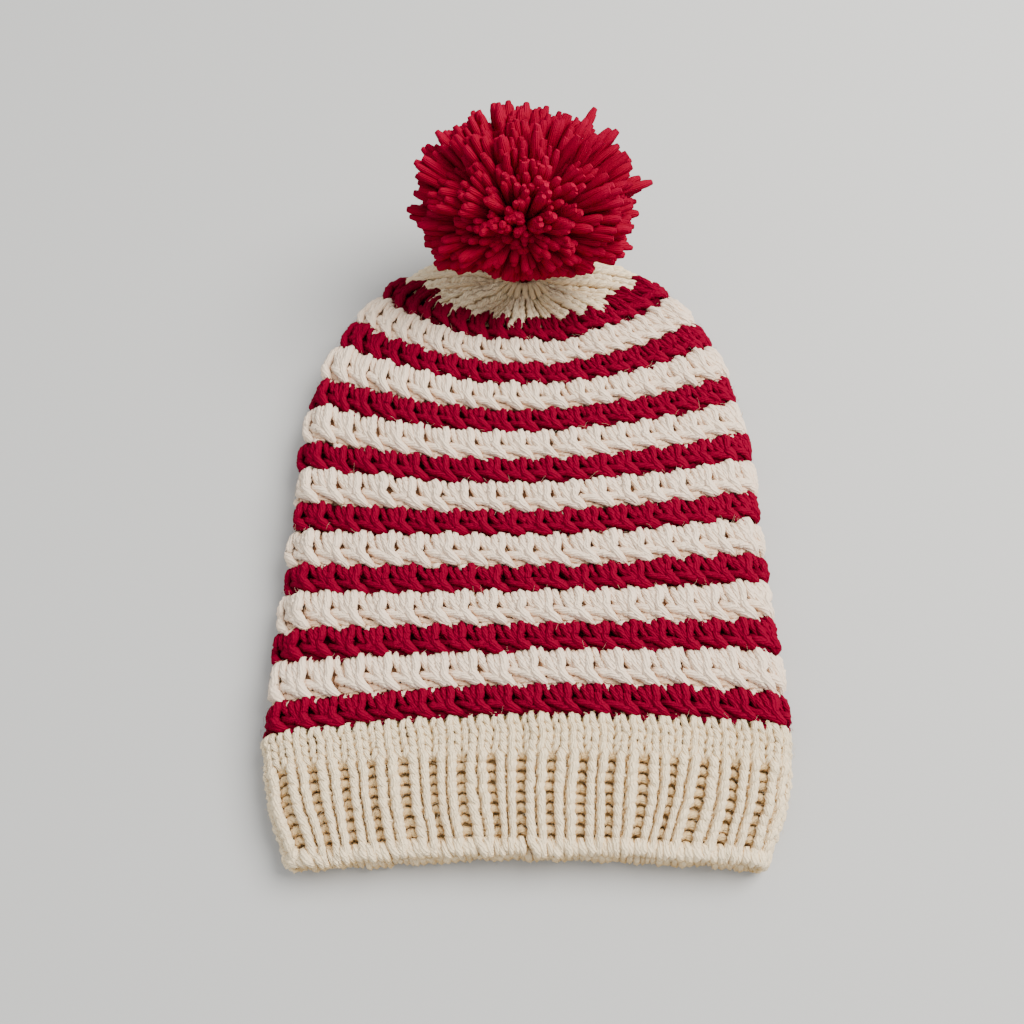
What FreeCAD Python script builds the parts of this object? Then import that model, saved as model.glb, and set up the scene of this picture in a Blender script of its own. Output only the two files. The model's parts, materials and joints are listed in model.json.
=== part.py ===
import FreeCAD, Part
import math
import os
import Sketcher

# A knitted beanie lying flat. X runs across it, +Y from the mouth to the pompom, +Z up from the table.
os.makedirs("parts", exist_ok=True)
doc = FreeCAD.newDocument("knit_beanie")

SIZES = {
    # widths of the flattened tube
    "mouth_width": 195.0,
    "brim_width": 224.0,
    "stripe_width": 222.0,
    "body_width": 218.0,
    # heights above the table
    "mouth_height": 20.0,
    "brim_height": 24.0,
    "stripe_height": 26.0,
    "belly_height": 30.0,
    "tip_height": 13.0,
    # the fabric, how round its side folds are as a share of the height, and how far it is pressed
    # flat against what it lies on
    "fabric_wall": 5.5,
    "fold_share": 0.42,
    "pressed_flat": 0.1,
    # depths along the hat, from the mouth
    "brim_place": 34.0,
    "edge_depth": 4.0,
    "rib_depth": 37.0,
    "plain_depth": 14.5,
    "red_depth": 12.0,
    "cream_depth": 14.66,
    "crown_depth": 60.0,
    # the rounded end, and how far down the hat the gather bends the rows
    "dome_length": 140.0,
    "dome_power": 2.3,
    "pull_reach": 129.0,
    # the gathered hole and its drawn yarn
    "gather_back": 31.0,
    "gather_hole": 9.0,
    "gather_yarn_round": 2.4,
    "crown_lean": 15.0,
    # the pompom and its tie
    "tie_length": 48.0,
    "tie_round": 2.5,
    "tie_below": 3.0,
    "knot_round": 4.6,
    "knot_drop": 9.5,
    "ball_round": 40.5,
    "ball_half_width": 47.5,
    "heart_round": 10.5,
    "binding_round": 7.0,
    "binding_yarn_round": 1.8,
    "tie_clearance": 1.1,
}

RED_STRIPES = 8
CREAM_STRIPES = RED_STRIPES - 1
# where the loft's sections stand on the dome, as shares of its length
DOME_SHARES = (0.35, 0.6, "gather", 0.9, 0.985)
LAST_HOLLOW_SHARE = 0.9
# how far the cutting solids reach past the fabric
PAST = 15.0

sheet = doc.addObject("Spreadsheet::Sheet", "Sizes")
for row, (alias, size) in enumerate(SIZES.items(), start=1):
    sheet.set(f"A{row}", alias)
    sheet.set(f"B{row}", str(size))
    sheet.setAlias(f"B{row}", alias)
doc.recompute()


def size(alias):
    return f"Sizes.{alias}"


def number(expression):
    return float(sheet.evalExpression(expression))


# Places along the hat are expressions counted from the mouth, and this turns one into the model's Y.
STRIPES_START = "(Sizes.edge_depth + Sizes.rib_depth + Sizes.plain_depth)"
STRIPES_END = (
    f"({STRIPES_START} + {RED_STRIPES} * Sizes.red_depth + {CREAM_STRIPES} * Sizes.cream_depth)"
)
FAR_END = f"({STRIPES_END} + Sizes.crown_depth)"
DOME_START = f"({FAR_END} - Sizes.dome_length)"
GATHER_PLACE = f"({FAR_END} - Sizes.gather_back)"
GATHER_SHARE = "(1 - Sizes.gather_back / Sizes.dome_length)"
WHOLE_LENGTH = (
    f"({GATHER_PLACE} + Sizes.tie_length * sin(Sizes.crown_lean) + Sizes.ball_round)"
)


def along(place):
    return f"({place} - {WHOLE_LENGTH} / 2)"


def dome_height(share):
    drop = f"(Sizes.belly_height - Sizes.tip_height) * ({share}) ^ 4"
    return f"(Sizes.belly_height - {drop})"


def dome_half(share):
    power = "Sizes.dome_power"
    return f"(Sizes.body_width / 2 * (1 - ({share}) ^ {power}) ^ (1 / {power}))"


# The gather's middle is in the middle of the fabric, and the tie's axis leans away from the mouth.
GATHER_Y = along(GATHER_PLACE)
GATHER_Z = f"({dome_height(GATHER_SHARE)} - Sizes.fabric_wall / 2)"


def place_on_tie(piece, distance, turn=FreeCAD.Rotation()):
    """Puts a piece at a distance from the gather along the tie's axis."""
    lean = FreeCAD.Rotation(FreeCAD.Vector(1, 0, 0), -number(size("crown_lean")))
    piece.Placement = FreeCAD.Placement(FreeCAD.Vector(), lean * turn)
    piece.setExpression("Placement.Base.y", f"{GATHER_Y} + {distance} * sin(Sizes.crown_lean)")
    piece.setExpression("Placement.Base.z", f"{GATHER_Z} + {distance} * cos(Sizes.crown_lean)")


def primitive(kind, name, **expressions):
    piece = doc.addObject(f"Part::{kind}", name)
    for prop, expression in expressions.items():
        piece.setExpression(prop, expression)
    return piece


def boolean(kind, name, base, tool):
    piece = doc.addObject(f"Part::{kind}", name)
    piece.Base = base
    piece.Tool = tool
    return piece


# ---- the flattened tube ----
body = doc.addObject("PartDesign::Body", "fabric_tube")
xz_plane = next(f for f in body.Origin.OriginFeatures if f.Role == "XZ_Plane")


def section(name, place, half, height, inset):
    """A flattened loop across the hat: a flat underside, two round folds and an arched front."""
    fold = f"(Sizes.fold_share * {height})"
    reach = f"({half} - {fold})"
    rise = f"({height} - {fold})"
    arch = f"(({reach} ^ 2 + {rise} ^ 2 - {fold} ^ 2) / (2 * ({rise} - {fold})))"
    fold_round = f"({fold} - {inset})"
    arch_round = f"({arch} - {inset})"

    sketch = body.newObject("Sketcher::SketchObject", name)
    sketch.AttachmentSupport = (xz_plane, [""])
    sketch.MapMode = "FlatFace"
    sketch.setExpression("AttachmentOffset.Base.z", f"-({along(place)})")
    sketch.setExpression("AttachmentOffset.Base.y", "-Sizes.pressed_flat")

    axis_x = number(reach)
    axis_z = number(fold)
    fold_radius = number(fold_round)
    arch_radius = number(arch_round)
    arch_z = number(f"{height} - {arch}")
    slope = math.atan2(axis_z - arch_z, axis_x)
    up = FreeCAD.Vector(0, 0, 1)

    def arc(x, z, radius, start, end):
        circle = Part.Circle(FreeCAD.Vector(x, z, 0), up, radius)
        return sketch.addGeometry(Part.ArcOfCircle(circle, start, end), False)

    floor_z = axis_z - fold_radius
    floor = sketch.addGeometry(
        Part.LineSegment(
            FreeCAD.Vector(-axis_x, floor_z, 0), FreeCAD.Vector(axis_x, floor_z, 0)
        ),
        False,
    )
    right = arc(axis_x, axis_z, fold_radius, -math.pi / 2, slope)
    top = arc(0, arch_z, arch_radius, slope, math.pi - slope)
    left = arc(-axis_x, axis_z, fold_radius, math.pi - slope, 1.5 * math.pi)

    start, end, centre, origin = 1, 2, 3, -1
    for one, one_end, other, other_end in (
        (floor, end, right, start),
        (right, end, top, start),
        (top, end, left, start),
        (left, end, floor, start),
    ):
        sketch.addConstraint(Sketcher.Constraint("Tangent", one, one_end, other, other_end))

    def driven(expression, *constraint):
        index = sketch.addConstraint(Sketcher.Constraint(*constraint, number(expression)))
        sketch.setExpression(f"Constraints[{index}]", expression)

    driven(reach, "DistanceX", origin, start, right, centre)
    driven(fold, "DistanceY", origin, start, right, centre)
    driven(reach, "DistanceX", left, centre, origin, start)
    driven(fold, "DistanceY", origin, start, left, centre)
    driven(fold_round, "Radius", right)
    sketch.addConstraint(Sketcher.Constraint("Equal", right, left))
    driven(arch_round, "Radius", top)
    return sketch


def tube_sections(prefix, first_place, inset, last_share):
    """The sections from the mouth to the dome's last one, all inset by the same wall."""
    sections = [
        section(f"{prefix}_mouth", first_place, "Sizes.mouth_width / 2", "Sizes.mouth_height", inset),
        section(
            f"{prefix}_brim", "Sizes.brim_place", "Sizes.brim_width / 2", "Sizes.brim_height", inset
        ),
        section(
            f"{prefix}_stripes",
            f"({STRIPES_START} + Sizes.red_depth)",
            "Sizes.stripe_width / 2",
            "Sizes.stripe_height",
            inset,
        ),
        section(f"{prefix}_body", DOME_START, "Sizes.body_width / 2", "Sizes.belly_height", inset),
    ]
    for index, share in enumerate(DOME_SHARES, start=1):
        share = GATHER_SHARE if share == "gather" else str(share)
        if number(share) > last_share:
            break
        place = f"({DOME_START} + {share} * Sizes.dome_length)"
        name = f"{prefix}_dome_{index}"
        sections.append(section(name, place, dome_half(share), dome_height(share), inset))
    return sections


def loft(kind, name, sections):
    feature = body.newObject(f"PartDesign::{kind}", name)
    feature.Profile = sections[0]
    feature.Sections = sections[1:]
    return feature


loft("AdditiveLoft", "outside", tube_sections("outside", "0", "0", 1.0))
doc.recompute()
outside_volume = body.Shape.Volume
loft(
    "SubtractiveLoft",
    "hollow",
    tube_sections("hollow", "0", "Sizes.fabric_wall", LAST_HOLLOW_SHARE),
)
doc.recompute()
if body.Shape.Volume > 0.8 * outside_volume:
    raise RuntimeError("the tube was not hollowed out")

hole = primitive(
    "Cylinder",
    "gather_opening",
    Radius=size("gather_hole"),
    Height="2 * Sizes.fabric_wall",
)
place_on_tie(hole, "-Sizes.fabric_wall")
holed = boolean("Cut", "holed_tube", body, hole)

# what the hat lies on, which leaves its underside truly flat
rest = primitive(
    "Box",
    "resting_surface",
    Length=f"Sizes.brim_width + 2 * {PAST}",
    Width=f"{FAR_END} + 2 * {PAST}",
    Height=f"{PAST}",
)
rest.setExpression("Placement.Base.x", f"-(Sizes.brim_width / 2 + {PAST})")
rest.setExpression("Placement.Base.y", f"{along('0')} - {PAST}")
rest.Placement.Base.z = -PAST
fabric = boolean("Cut", "fabric", holed, rest)


# ---- the knitted bands ----
def beyond_line(name, place):
    """Everything past a straight row."""
    box = primitive(
        "Box",
        name,
        Length=f"Sizes.brim_width + 2 * {PAST}",
        Width=f"{FAR_END} + {PAST}",
        Height=f"Sizes.belly_height + 2 * {PAST}",
    )
    box.setExpression("Placement.Base.x", f"-(Sizes.brim_width / 2 + {PAST})")
    box.setExpression("Placement.Base.y", along(place))
    box.Placement.Base.z = -PAST
    return box


def beyond_arc(name, place):
    """Everything past a row that bends round the gather, more so the nearer it is."""
    left_over = f"({FAR_END} - {place})"
    radius = f"({left_over} * (1 + ({left_over} / Sizes.pull_reach) ^ 2))"
    drum = primitive(
        "Cylinder", name, Radius=radius, Height=f"Sizes.belly_height + 2 * {PAST}"
    )
    drum.setExpression("Placement.Base.y", f"{along(place)} + {radius}")
    drum.Placement.Base.z = -PAST
    return drum


nodes = []


def add_node(piece, label):
    piece.Label = label
    nodes.append(piece)


def band_names():
    """Each band with its depth, from the mouth to the crown."""
    yield "cast_on_edge", size("edge_depth")
    yield "rib_brim", size("rib_depth")
    yield "plain_band", size("plain_depth")
    for stripe in range(1, RED_STRIPES + 1):
        yield f"red_stripe_{stripe}", size("red_depth")
        if stripe <= CREAM_STRIPES:
            yield f"cream_stripe_{stripe}", size("cream_depth")


def knit_bands():
    """Cuts the fabric into bands, each one from its own row to the next band's."""
    rest = fabric
    place = "0"
    for label, depth in band_names():
        place = f"{place} + {depth}"
        row = f"({place})"
        bent = "stripe" in label and label != "red_stripe_1"
        cutter = (beyond_arc if bent else beyond_line)(f"past_{label}", row)
        add_node(boolean("Cut", f"band_{label}", rest, cutter), label)
        rest = boolean("Common", f"above_{label}", rest, cutter)
    add_node(rest, "crown_top")


knit_bands()

# ---- the gather, the tie and the pompom ----
gather_yarn = primitive(
    "Torus",
    "drawn_yarn",
    Radius1="Sizes.gather_hole - Sizes.gather_yarn_round",
    Radius2=size("gather_yarn_round"),
)
place_on_tie(gather_yarn, "0")
add_node(gather_yarn, "gather_yarn")

knot = primitive("Sphere", "knot", Radius=size("knot_round"))
place_on_tie(knot, "-Sizes.knot_drop")
add_node(knot, "anchor_knot")

tie = primitive(
    "Cylinder",
    "tie",
    Radius=size("tie_round"),
    Height="Sizes.tie_length - Sizes.heart_round + Sizes.tie_below",
)
place_on_tie(tie, "-Sizes.tie_below")
add_node(tie, "tie_shank")

binding = primitive(
    "Torus",
    "binding",
    Radius1=size("binding_round"),
    Radius2=size("binding_yarn_round"),
)
across = FreeCAD.Rotation(FreeCAD.Vector(0, 1, 0), 90)
place_on_tie(binding, "Sizes.tie_length", across)
add_node(binding, "binding_tie")

ball = primitive(
    "Ellipsoid",
    "ball",
    Radius1=size("ball_round"),
    Radius2=size("ball_half_width"),
    Radius3=size("ball_round"),
)
place_on_tie(ball, "Sizes.tie_length")
heart = primitive("Sphere", "heart", Radius=size("heart_round"))
place_on_tie(heart, "Sizes.tie_length")
tie_way = primitive(
    "Cylinder",
    "tie_way",
    Radius="Sizes.tie_round + Sizes.tie_clearance",
    Height=size("tie_length"),
)
place_on_tie(tie_way, "0")
hollow_ball = boolean("Cut", "ball_with_heart", ball, heart)
pompom = boolean("Cut", "bored_ball", hollow_ball, tie_way)
add_node(pompom, "pompom_ball")

doc.recompute()

for piece in doc.Objects:
    if any(state in piece.State for state in ("Invalid", "Error")):
        raise RuntimeError(f"{piece.Name} did not build: {piece.State}")
for piece in nodes:
    if piece.Shape.isNull() or not piece.Shape.isValid() or len(piece.Shape.Solids) != 1:
        raise RuntimeError(f"{piece.Label} is not one valid solid")
    if piece.Shape.Volume <= 0:
        raise RuntimeError(f"{piece.Label} has no volume")
for piece in nodes:
    piece.Shape.exportStep(f"parts/{piece.Label}.step")
    box = piece.Shape.BoundBox
    print(
        f"{piece.Label:16s} {piece.Shape.Volume / 1000:7.1f} cm3"
        f"  y {box.YMin:7.1f} {box.YMax:7.1f}  z {box.ZMin:6.1f} {box.ZMax:6.1f}"
    )
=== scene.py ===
import json
import math

import bpy
import numpy as np
from mathutils import Matrix, Vector


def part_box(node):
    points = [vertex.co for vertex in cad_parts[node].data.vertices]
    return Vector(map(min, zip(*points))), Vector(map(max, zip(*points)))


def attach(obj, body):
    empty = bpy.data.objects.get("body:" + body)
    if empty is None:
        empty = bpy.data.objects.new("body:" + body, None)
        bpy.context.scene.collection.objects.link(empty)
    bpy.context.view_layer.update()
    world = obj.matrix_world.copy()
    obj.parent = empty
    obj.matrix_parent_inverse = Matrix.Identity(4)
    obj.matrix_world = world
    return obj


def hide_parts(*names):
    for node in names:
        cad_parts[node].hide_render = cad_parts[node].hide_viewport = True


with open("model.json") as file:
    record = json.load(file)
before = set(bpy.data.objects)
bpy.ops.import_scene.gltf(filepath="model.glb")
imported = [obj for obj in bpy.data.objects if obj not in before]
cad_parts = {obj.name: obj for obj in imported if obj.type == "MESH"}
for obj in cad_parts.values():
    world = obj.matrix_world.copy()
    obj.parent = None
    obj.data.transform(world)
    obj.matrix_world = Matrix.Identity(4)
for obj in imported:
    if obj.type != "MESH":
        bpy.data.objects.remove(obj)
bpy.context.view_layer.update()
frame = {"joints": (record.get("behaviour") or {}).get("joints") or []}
mm = 0.001
bpy.ops.object.select_all(action="DESELECT")
print("frame loaded")


# sizes read from the frame
def lowest(node):
    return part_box(node)[0]


def highest(node):
    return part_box(node)[1]


jointNamed = {joint["name"]: joint for joint in frame["joints"]}
mouthY = lowest("cast_on_edge").y
farLength = highest("crown_top").y - mouthY
gather = Vector(jointNamed["pompom_nod"]["pos_m"])
tieAxis = Vector(jointNamed["pompom_twist"]["axis"]).normalized()
ballCentre = (lowest("pompom_ball") + highest("pompom_ball")) / 2
bandNames = ["cast_on_edge", "rib_brim", "plain_band"]
for stripeNumber in range(1, 9):
    bandNames.append(f"red_stripe_{stripeNumber}")
    if stripeNumber < 8:
        bandNames.append(f"cream_stripe_{stripeNumber}")
bandNames.append("crown_top")
bandStart = {name: lowest(name).y - mouthY for name in bandNames}
bandEnd = {name: bandStart[after] for name, after in zip(bandNames, bandNames[1:])}
crownStart = bandStart["crown_top"]

# camera
cameraSetup = {
    "tilt": 27.0,  # degrees from straight down
    "distance": 466 * mm,
    "aim": Vector((-6.5 * mm, mouthY + 149 * mm, 22 * mm)),
    "lens": 36.07,
    "sensor": 36.0,
}


def addCamera():
    tilt = math.radians(cameraSetup["tilt"])
    back = Vector((0, -math.sin(tilt), math.cos(tilt)))
    bpy.ops.object.camera_add(
        location=cameraSetup["aim"] + back * cameraSetup["distance"], rotation=(tilt, 0, 0)
    )
    camera = bpy.context.object
    camera.name = "camera"
    camera.data.lens = cameraSetup["lens"]
    camera.data.sensor_width = cameraSetup["sensor"]
    camera.data.clip_start = 0.01
    bpy.context.scene.camera = camera
    return camera


addCamera()
print("camera placed")

# the shape of the flattened hat
hatShape = {
    # half widths at places along the hat, from the mouth
    "places": [-10, 0, 18, 45, 67, 95, 140],
    "halfWidths": [93.5, 97.5, 105.5, 111.8, 110.4, 109, 107.8],
    "heights": [19.5, 20, 22, 24.5, 26, 27.8, 29.5],
    "bodyHalf": 107.5,
    "bellyHeight": 30,
    "tipHeight": 13,
    "domeLength": 140,
    "domePower": 2.15,
    "foldShare": 0.42,
    # how the rows bend
    "pullReach": 129,
    "brimBow": 0.0015,
    "bodyBow": 0.0004,
    "brimBowPlace": 50,
    "brimBowReach": 42,
    "rowTilt": 2.6,
    # pleats of the gathered end
    "pleatStart": 222,
    "lobes": 8,
    "lobeTurn": -4,
    "lobeDepth": 8.0,
    "sink": 2.6,  # how far the knitted layer's middle lies under the CAD skin
    "tipAllowance": 2.2,  # how far the far tip of the yarn goes past the CAD crown
    "tipClosing": 14,  # over this length the front comes down to the back
    "ripple": 0.7,
}
surfaceGrid = {
    "rows": 420,
    "tipRows": 120,
    "tipLength": 20,
    "sectionPoints": 721,
    "columns": 1441,
    "halvings": 34,
    "mouthMargin": -8,
}


def smoothStep(value, low, high):
    share = np.clip((value - low) / (high - low), 0, 1)
    return share * share * (3 - 2 * share)


def softNoise(x, y, seed):
    # a few sine waves in seeded directions, between about -1 and 1
    dice = np.random.default_rng(seed)
    total = 0
    for _ in range(5):
        angle, phase, pitch = dice.uniform(0, 6.283), dice.uniform(0, 6.283), dice.uniform(0.6, 1.6)
        total = total + np.sin(pitch * (x * math.cos(angle) + y * math.sin(angle)) + phase)
    return total / 3.2


def unit(vectors):
    return vectors / np.maximum(np.linalg.norm(vectors, axis=-1, keepdims=True), 1e-9)


def closeRound(grid):
    # the first and last columns are the same place, so each gets its neighbour from the other end
    return np.concatenate([grid[:, -2:-1], grid, grid[:, 1:2]], axis=1)


def gridNormals(grid, spacing):
    closed = closeRound(grid)
    return unit(np.cross(closed[:, 2:] - closed[:, :-2], np.gradient(grid, spacing, axis=0)))


def lookUp(table, turn, row):
    # bilinear, closed round the hat; turn is 0 at the front's middle
    columns = table.shape[1] - 1
    column = ((turn + 0.5) % 1.0) * columns
    left = np.floor(column).astype(int) % columns
    toRight = (column - np.floor(column))[:, None]
    row = np.clip(row, 0, len(table) - 1.001)
    first = np.floor(row).astype(int)
    toNext = (row - first)[:, None]
    here = table[first, left] * (1 - toRight) + table[first, left + 1] * toRight
    after = table[first + 1, left] * (1 - toRight) + table[first + 1, left + 1] * toRight
    return here * (1 - toNext) + after * toNext


class HatSurface:
    # Points of the hat for a place round it, along it and above it, all in millimetres inside.
    def __init__(self):
        self.far = farLength / mm + hatShape["tipAllowance"]
        self.domeStart = self.far - hatShape["domeLength"]
        tip = surfaceGrid["tipLength"]
        body = np.linspace(surfaceGrid["mouthMargin"], self.far - tip, surfaceGrid["rows"])
        self.alongs = np.concatenate([body, self.far - np.linspace(tip - 0.5, 0.05, surfaceGrid["tipRows"])])
        self.grid = self.solveRows()
        self.normals = gridNormals(self.grid, self.alongs)

    def halfWidth(self, y):
        share = np.clip((y - self.domeStart) / hatShape["domeLength"], 0, 1)
        power = hatShape["domePower"]
        dome = hatShape["bodyHalf"] * (1 - share**power) ** (1 / power)
        low = np.interp(y, hatShape["places"] + [self.domeStart], hatShape["halfWidths"] + [hatShape["bodyHalf"]])
        return np.where(y > self.domeStart, dome, low)

    def height(self, y):
        share = np.clip((y - self.domeStart) / hatShape["domeLength"], 0, 1)
        belly = hatShape["bellyHeight"]
        dome = belly - (belly - hatShape["tipHeight"]) * share**4
        low = np.interp(y, hatShape["places"] + [self.domeStart], hatShape["heights"] + [belly])
        return np.where(y > self.domeStart, dome, low)

    def section(self, q, y):
        # q runs from -1 at the middle of the back, through 0 at the front, to 1
        half = np.maximum(self.halfWidth(y), 0.05) - hatShape["sink"] * 0.9
        half = np.maximum(half, 0.03)
        height = self.height(y)
        fold = np.minimum(hatShape["foldShare"] * height, 0.8 * half)
        reach = half - fold
        rise = height - fold
        arch = (reach**2 + rise**2 - fold**2) / (2 * (rise - fold))
        archZ = height - arch
        turn = np.arctan2(reach, fold - archZ)
        topLength = arch * turn
        foldLength = fold * (math.pi - turn)
        way = np.abs(q) * (topLength + foldLength + reach)
        onTop = way / arch
        onFold = turn + (way - topLength) / fold
        x = np.where(
            way < topLength,
            arch * np.sin(onTop),
            np.where(
                way < topLength + foldLength,
                reach + fold * np.sin(onFold),
                reach - (way - topLength - foldLength),
            ),
        )
        z = np.where(
            way < topLength,
            archZ + arch * np.cos(onTop),
            np.where(way < topLength + foldLength, fold + fold * np.cos(onFold), 0),
        )
        closing = np.clip((y - self.far) / hatShape["tipClosing"] + 1, 0, 1)
        squeeze = np.sqrt(1 - closing**2)
        inset = hatShape["sink"]
        z = fold + (z - fold) * squeeze * np.maximum(fold - inset, 0) / fold
        # where the tip is thinner than the layer, front and back meet
        z = np.maximum(z, inset)
        return np.sign(q) * x, z

    def rowOffset(self, along, x):
        left = np.maximum(self.far - along, 0.01)
        bend = 1 / (left * (1 + (left / hatShape["pullReach"]) ** 2))
        ease = np.where(
            along < hatShape["brimBowPlace"],
            1,
            np.exp(-(((along - hatShape["brimBowPlace"]) / hatShape["brimBowReach"]) ** 2)),
        )
        bend = bend - hatShape["brimBow"] * ease - hatShape["bodyBow"] * smoothStep(along, 25, 75)
        reach = np.clip(np.abs(bend * x), 0, 0.999)
        bow = bend * x**2 / (1 + np.sqrt(1 - reach**2))
        tilt = hatShape["rowTilt"] * (x / 110) * smoothStep(along, 20, 70)
        return bow + tilt * (1 - smoothStep(along, 160, 240) * 1.4)

    def solveRows(self):
        q = np.linspace(-1, 1, surfaceGrid["sectionPoints"])[None, :]
        along = self.alongs[:, None]
        low = np.full((len(self.alongs), q.shape[1]), -30.0)
        high = np.full_like(low, self.far - 0.01)
        for _ in range(surfaceGrid["halvings"]):
            middle = (low + high) / 2
            x = self.section(q, middle)[0]
            over = middle - along - self.rowOffset(along, x) > 0
            high = np.where(over, middle, high)
            low = np.where(over, low, middle)
        y = (low + high) / 2
        x, z = self.section(q, y)
        points = np.stack([x, y, z], axis=-1)
        steps = np.linalg.norm(np.diff(points, axis=1), axis=2)
        ways = np.concatenate([np.zeros((len(points), 1)), np.cumsum(steps, axis=1)], axis=1)
        self.lengths = ways[:, -1]
        share = np.linspace(0, 1, surfaceGrid["columns"])
        rows = np.empty((len(points), surfaceGrid["columns"], 3))
        for i in range(len(points)):
            for axis in range(3):
                rows[i, :, axis] = np.interp(share * ways[i, -1], ways[i], points[i, :, axis])
        return rows

    def place(self, turn, along, above, pleated=True):
        row = np.interp(along, self.alongs, np.arange(len(self.alongs)))
        point = lookUp(self.grid, turn, row)
        normal = unit(lookUp(self.normals, turn, row))
        below = np.minimum(along - self.alongs[0], 0)
        point = point + np.stack([0 * below, below, 0 * below], axis=-1)
        if pleated:
            ripple = hatShape["ripple"] * softNoise(turn * 40, along / 22, 5) * np.clip(normal[:, 2], 0, 1)
            ripple = ripple * smoothStep(along, crownStart / mm, crownStart / mm - 25)
            above = above + ripple + pleatDepth(turn, along)
        return point + normal * above[:, None]


def pleatDepth(turn, along):
    lobe = np.cos(hatShape["lobes"] * (turn * 2 * math.pi - math.radians(hatShape["lobeTurn"])))
    front = 0.25 + 0.75 * smoothStep(np.cos(2 * math.pi * turn), -0.1, 0.6)
    grow = smoothStep(along, hatShape["pleatStart"], crownStart / mm + 25)
    return hatShape["lobeDepth"] * 0.5 * front * (lobe - 1.0) * grow


print("solving the rows of the hat")
hat = HatSurface()
print("widest row", round(hat.lengths.max(), 1), "mm round")


crownGrid = {
    "columns": 720,
    "rows": 200,
    "reach": 0.97,  # how near the columns come to the gather, as a share
    "smoothing": 60,
}


class CrownSurface:
    # The gathered end: columns of stitches run from the last stripe to the gather.
    def __init__(self):
        self.depth = hat.far - crownStart / mm
        self.back = (highest("crown_top").y - gather.y) / mm + hatShape["tipAllowance"]
        turns = np.linspace(-0.5, 0.5, crownGrid["columns"] + 1)
        shares = np.linspace(0, crownGrid["reach"], crownGrid["rows"])
        u, v = np.meshgrid(turns, shares)
        x = (1 - v) * np.sin(2 * math.pi * u)
        y = -(1 - v) * np.cos(2 * math.pi * u) - v * self.back / self.depth
        radius = np.clip(np.hypot(x, y), 0.002, 1)
        turn = np.arctan2(x, -y) / (2 * math.pi)
        along = hat.far - self.depth * radius
        points = hat.place(turn.ravel(), along.ravel(), np.zeros(turn.size), False).reshape(*turn.shape, 3)
        # the far edge is rounded off
        for _ in range(crownGrid["smoothing"]):
            ring = closeRound(points)
            around = (ring[:, :-2] + ring[:, 2:]) / 2
            points[1:-1] = 0.5 * points[1:-1] + 0.25 * around[1:-1] + 0.125 * (points[:-2] + points[2:])
        self.grid = points
        steps = np.linalg.norm(np.diff(points, axis=0), axis=2)
        self.ways = np.concatenate([np.zeros((1, len(turns))), np.cumsum(steps, axis=0)])
        self.normals = gridNormals(points, 1.0)

    def place(self, turn, along, above):
        # along is the distance past the last stripe
        nearest = np.round(((turn + 0.5) % 1.0) * crownGrid["columns"]).astype(int)
        row = np.empty(len(turn))
        for c in np.unique(nearest):
            here = nearest == c
            row[here] = np.interp(along[here], self.ways[:, c], np.arange(crownGrid["rows"]))
        point = lookUp(self.grid, turn, row)
        normal = unit(lookUp(self.normals, turn, row))
        before = np.minimum(along, 0)[:, None]
        slope = self.grid[3, nearest] - self.grid[0, nearest]
        slope /= np.linalg.norm(slope, axis=1, keepdims=True)
        left = self.ways[-1, nearest] - along
        above = above + pleatDepth(turn, crownStart / mm + along) * smoothStep(left, -4, 18)
        return point + normal * above[:, None] + slope * before

    def wayLength(self, turn):
        column = int(round(((turn + 0.5) % 1.0) * crownGrid["columns"]))
        return self.ways[-1, column]


crown = CrownSurface()
print("crown solved")


# yarn
pressedDepth = 1.4  # millimetres over which the underside is pressed flat


def makeYarn(strands, steps=3, sides=1, jitter=0.0, seed=0, lump=0.0):
    # one piece of mesh from several yarns, each (radius, points)
    # a point is x, y, z and maybe a swell; steps and sides say how finely the yarn is faced
    dice = np.random.default_rng(seed)
    curve = bpy.data.curves.new("yarn", "CURVE")
    curve.dimensions = "3D"
    curve.bevel_depth = 1.0
    curve.bevel_resolution = sides
    curve.resolution_u = steps
    curve.use_fill_caps = True
    for radius, points in strands:
        spline = curve.splines.new("NURBS")
        spline.points.add(len(points) - 1)
        shift = dice.normal(0, jitter, (len(points), 3))
        last = len(points) - 1
        for i, point in enumerate(points):
            moved = np.array(point[:3], float) + shift[i] * (0.4 if i in (0, last) else 1)
            spline.points[i].co = (*moved, 1)
            swell = point[3] if len(point) > 3 else 1.0
            spline.points[i].radius = radius * swell * (1 + dice.normal(0, jitter * 0.2))
        spline.order_u = min(4, len(points))
        spline.use_endpoint_u = True
    yarn = bpy.data.objects.new("yarn", curve)
    bpy.context.scene.collection.objects.link(yarn)
    bpy.ops.object.select_all(action="DESELECT")
    bpy.context.view_layer.objects.active = yarn
    yarn.select_set(True)
    bpy.ops.object.convert(target="MESH")
    yarn = bpy.context.object
    mesh = yarn.data
    points = np.empty(len(mesh.vertices) * 3)
    mesh.vertices.foreach_get("co", points)
    loops = np.empty(len(mesh.loops), int)
    mesh.loops.foreach_get("vertex_index", loops)
    totals = np.empty(len(mesh.polygons), int)
    mesh.polygons.foreach_get("loop_total", totals)
    uv = np.empty(len(mesh.loops) * 2)
    mesh.uv_layers[0].data.foreach_get("uv", uv)
    points = points.reshape(-1, 3)
    points = points + dice.normal(0, lump, points.shape)
    bpy.data.objects.remove(yarn)
    bpy.data.meshes.remove(mesh)
    return {
        "points": points,
        "loops": loops,
        "totals": totals,
        "uv": uv.reshape(-1, 2),
        "heights": points[:, 2],
    }


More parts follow.
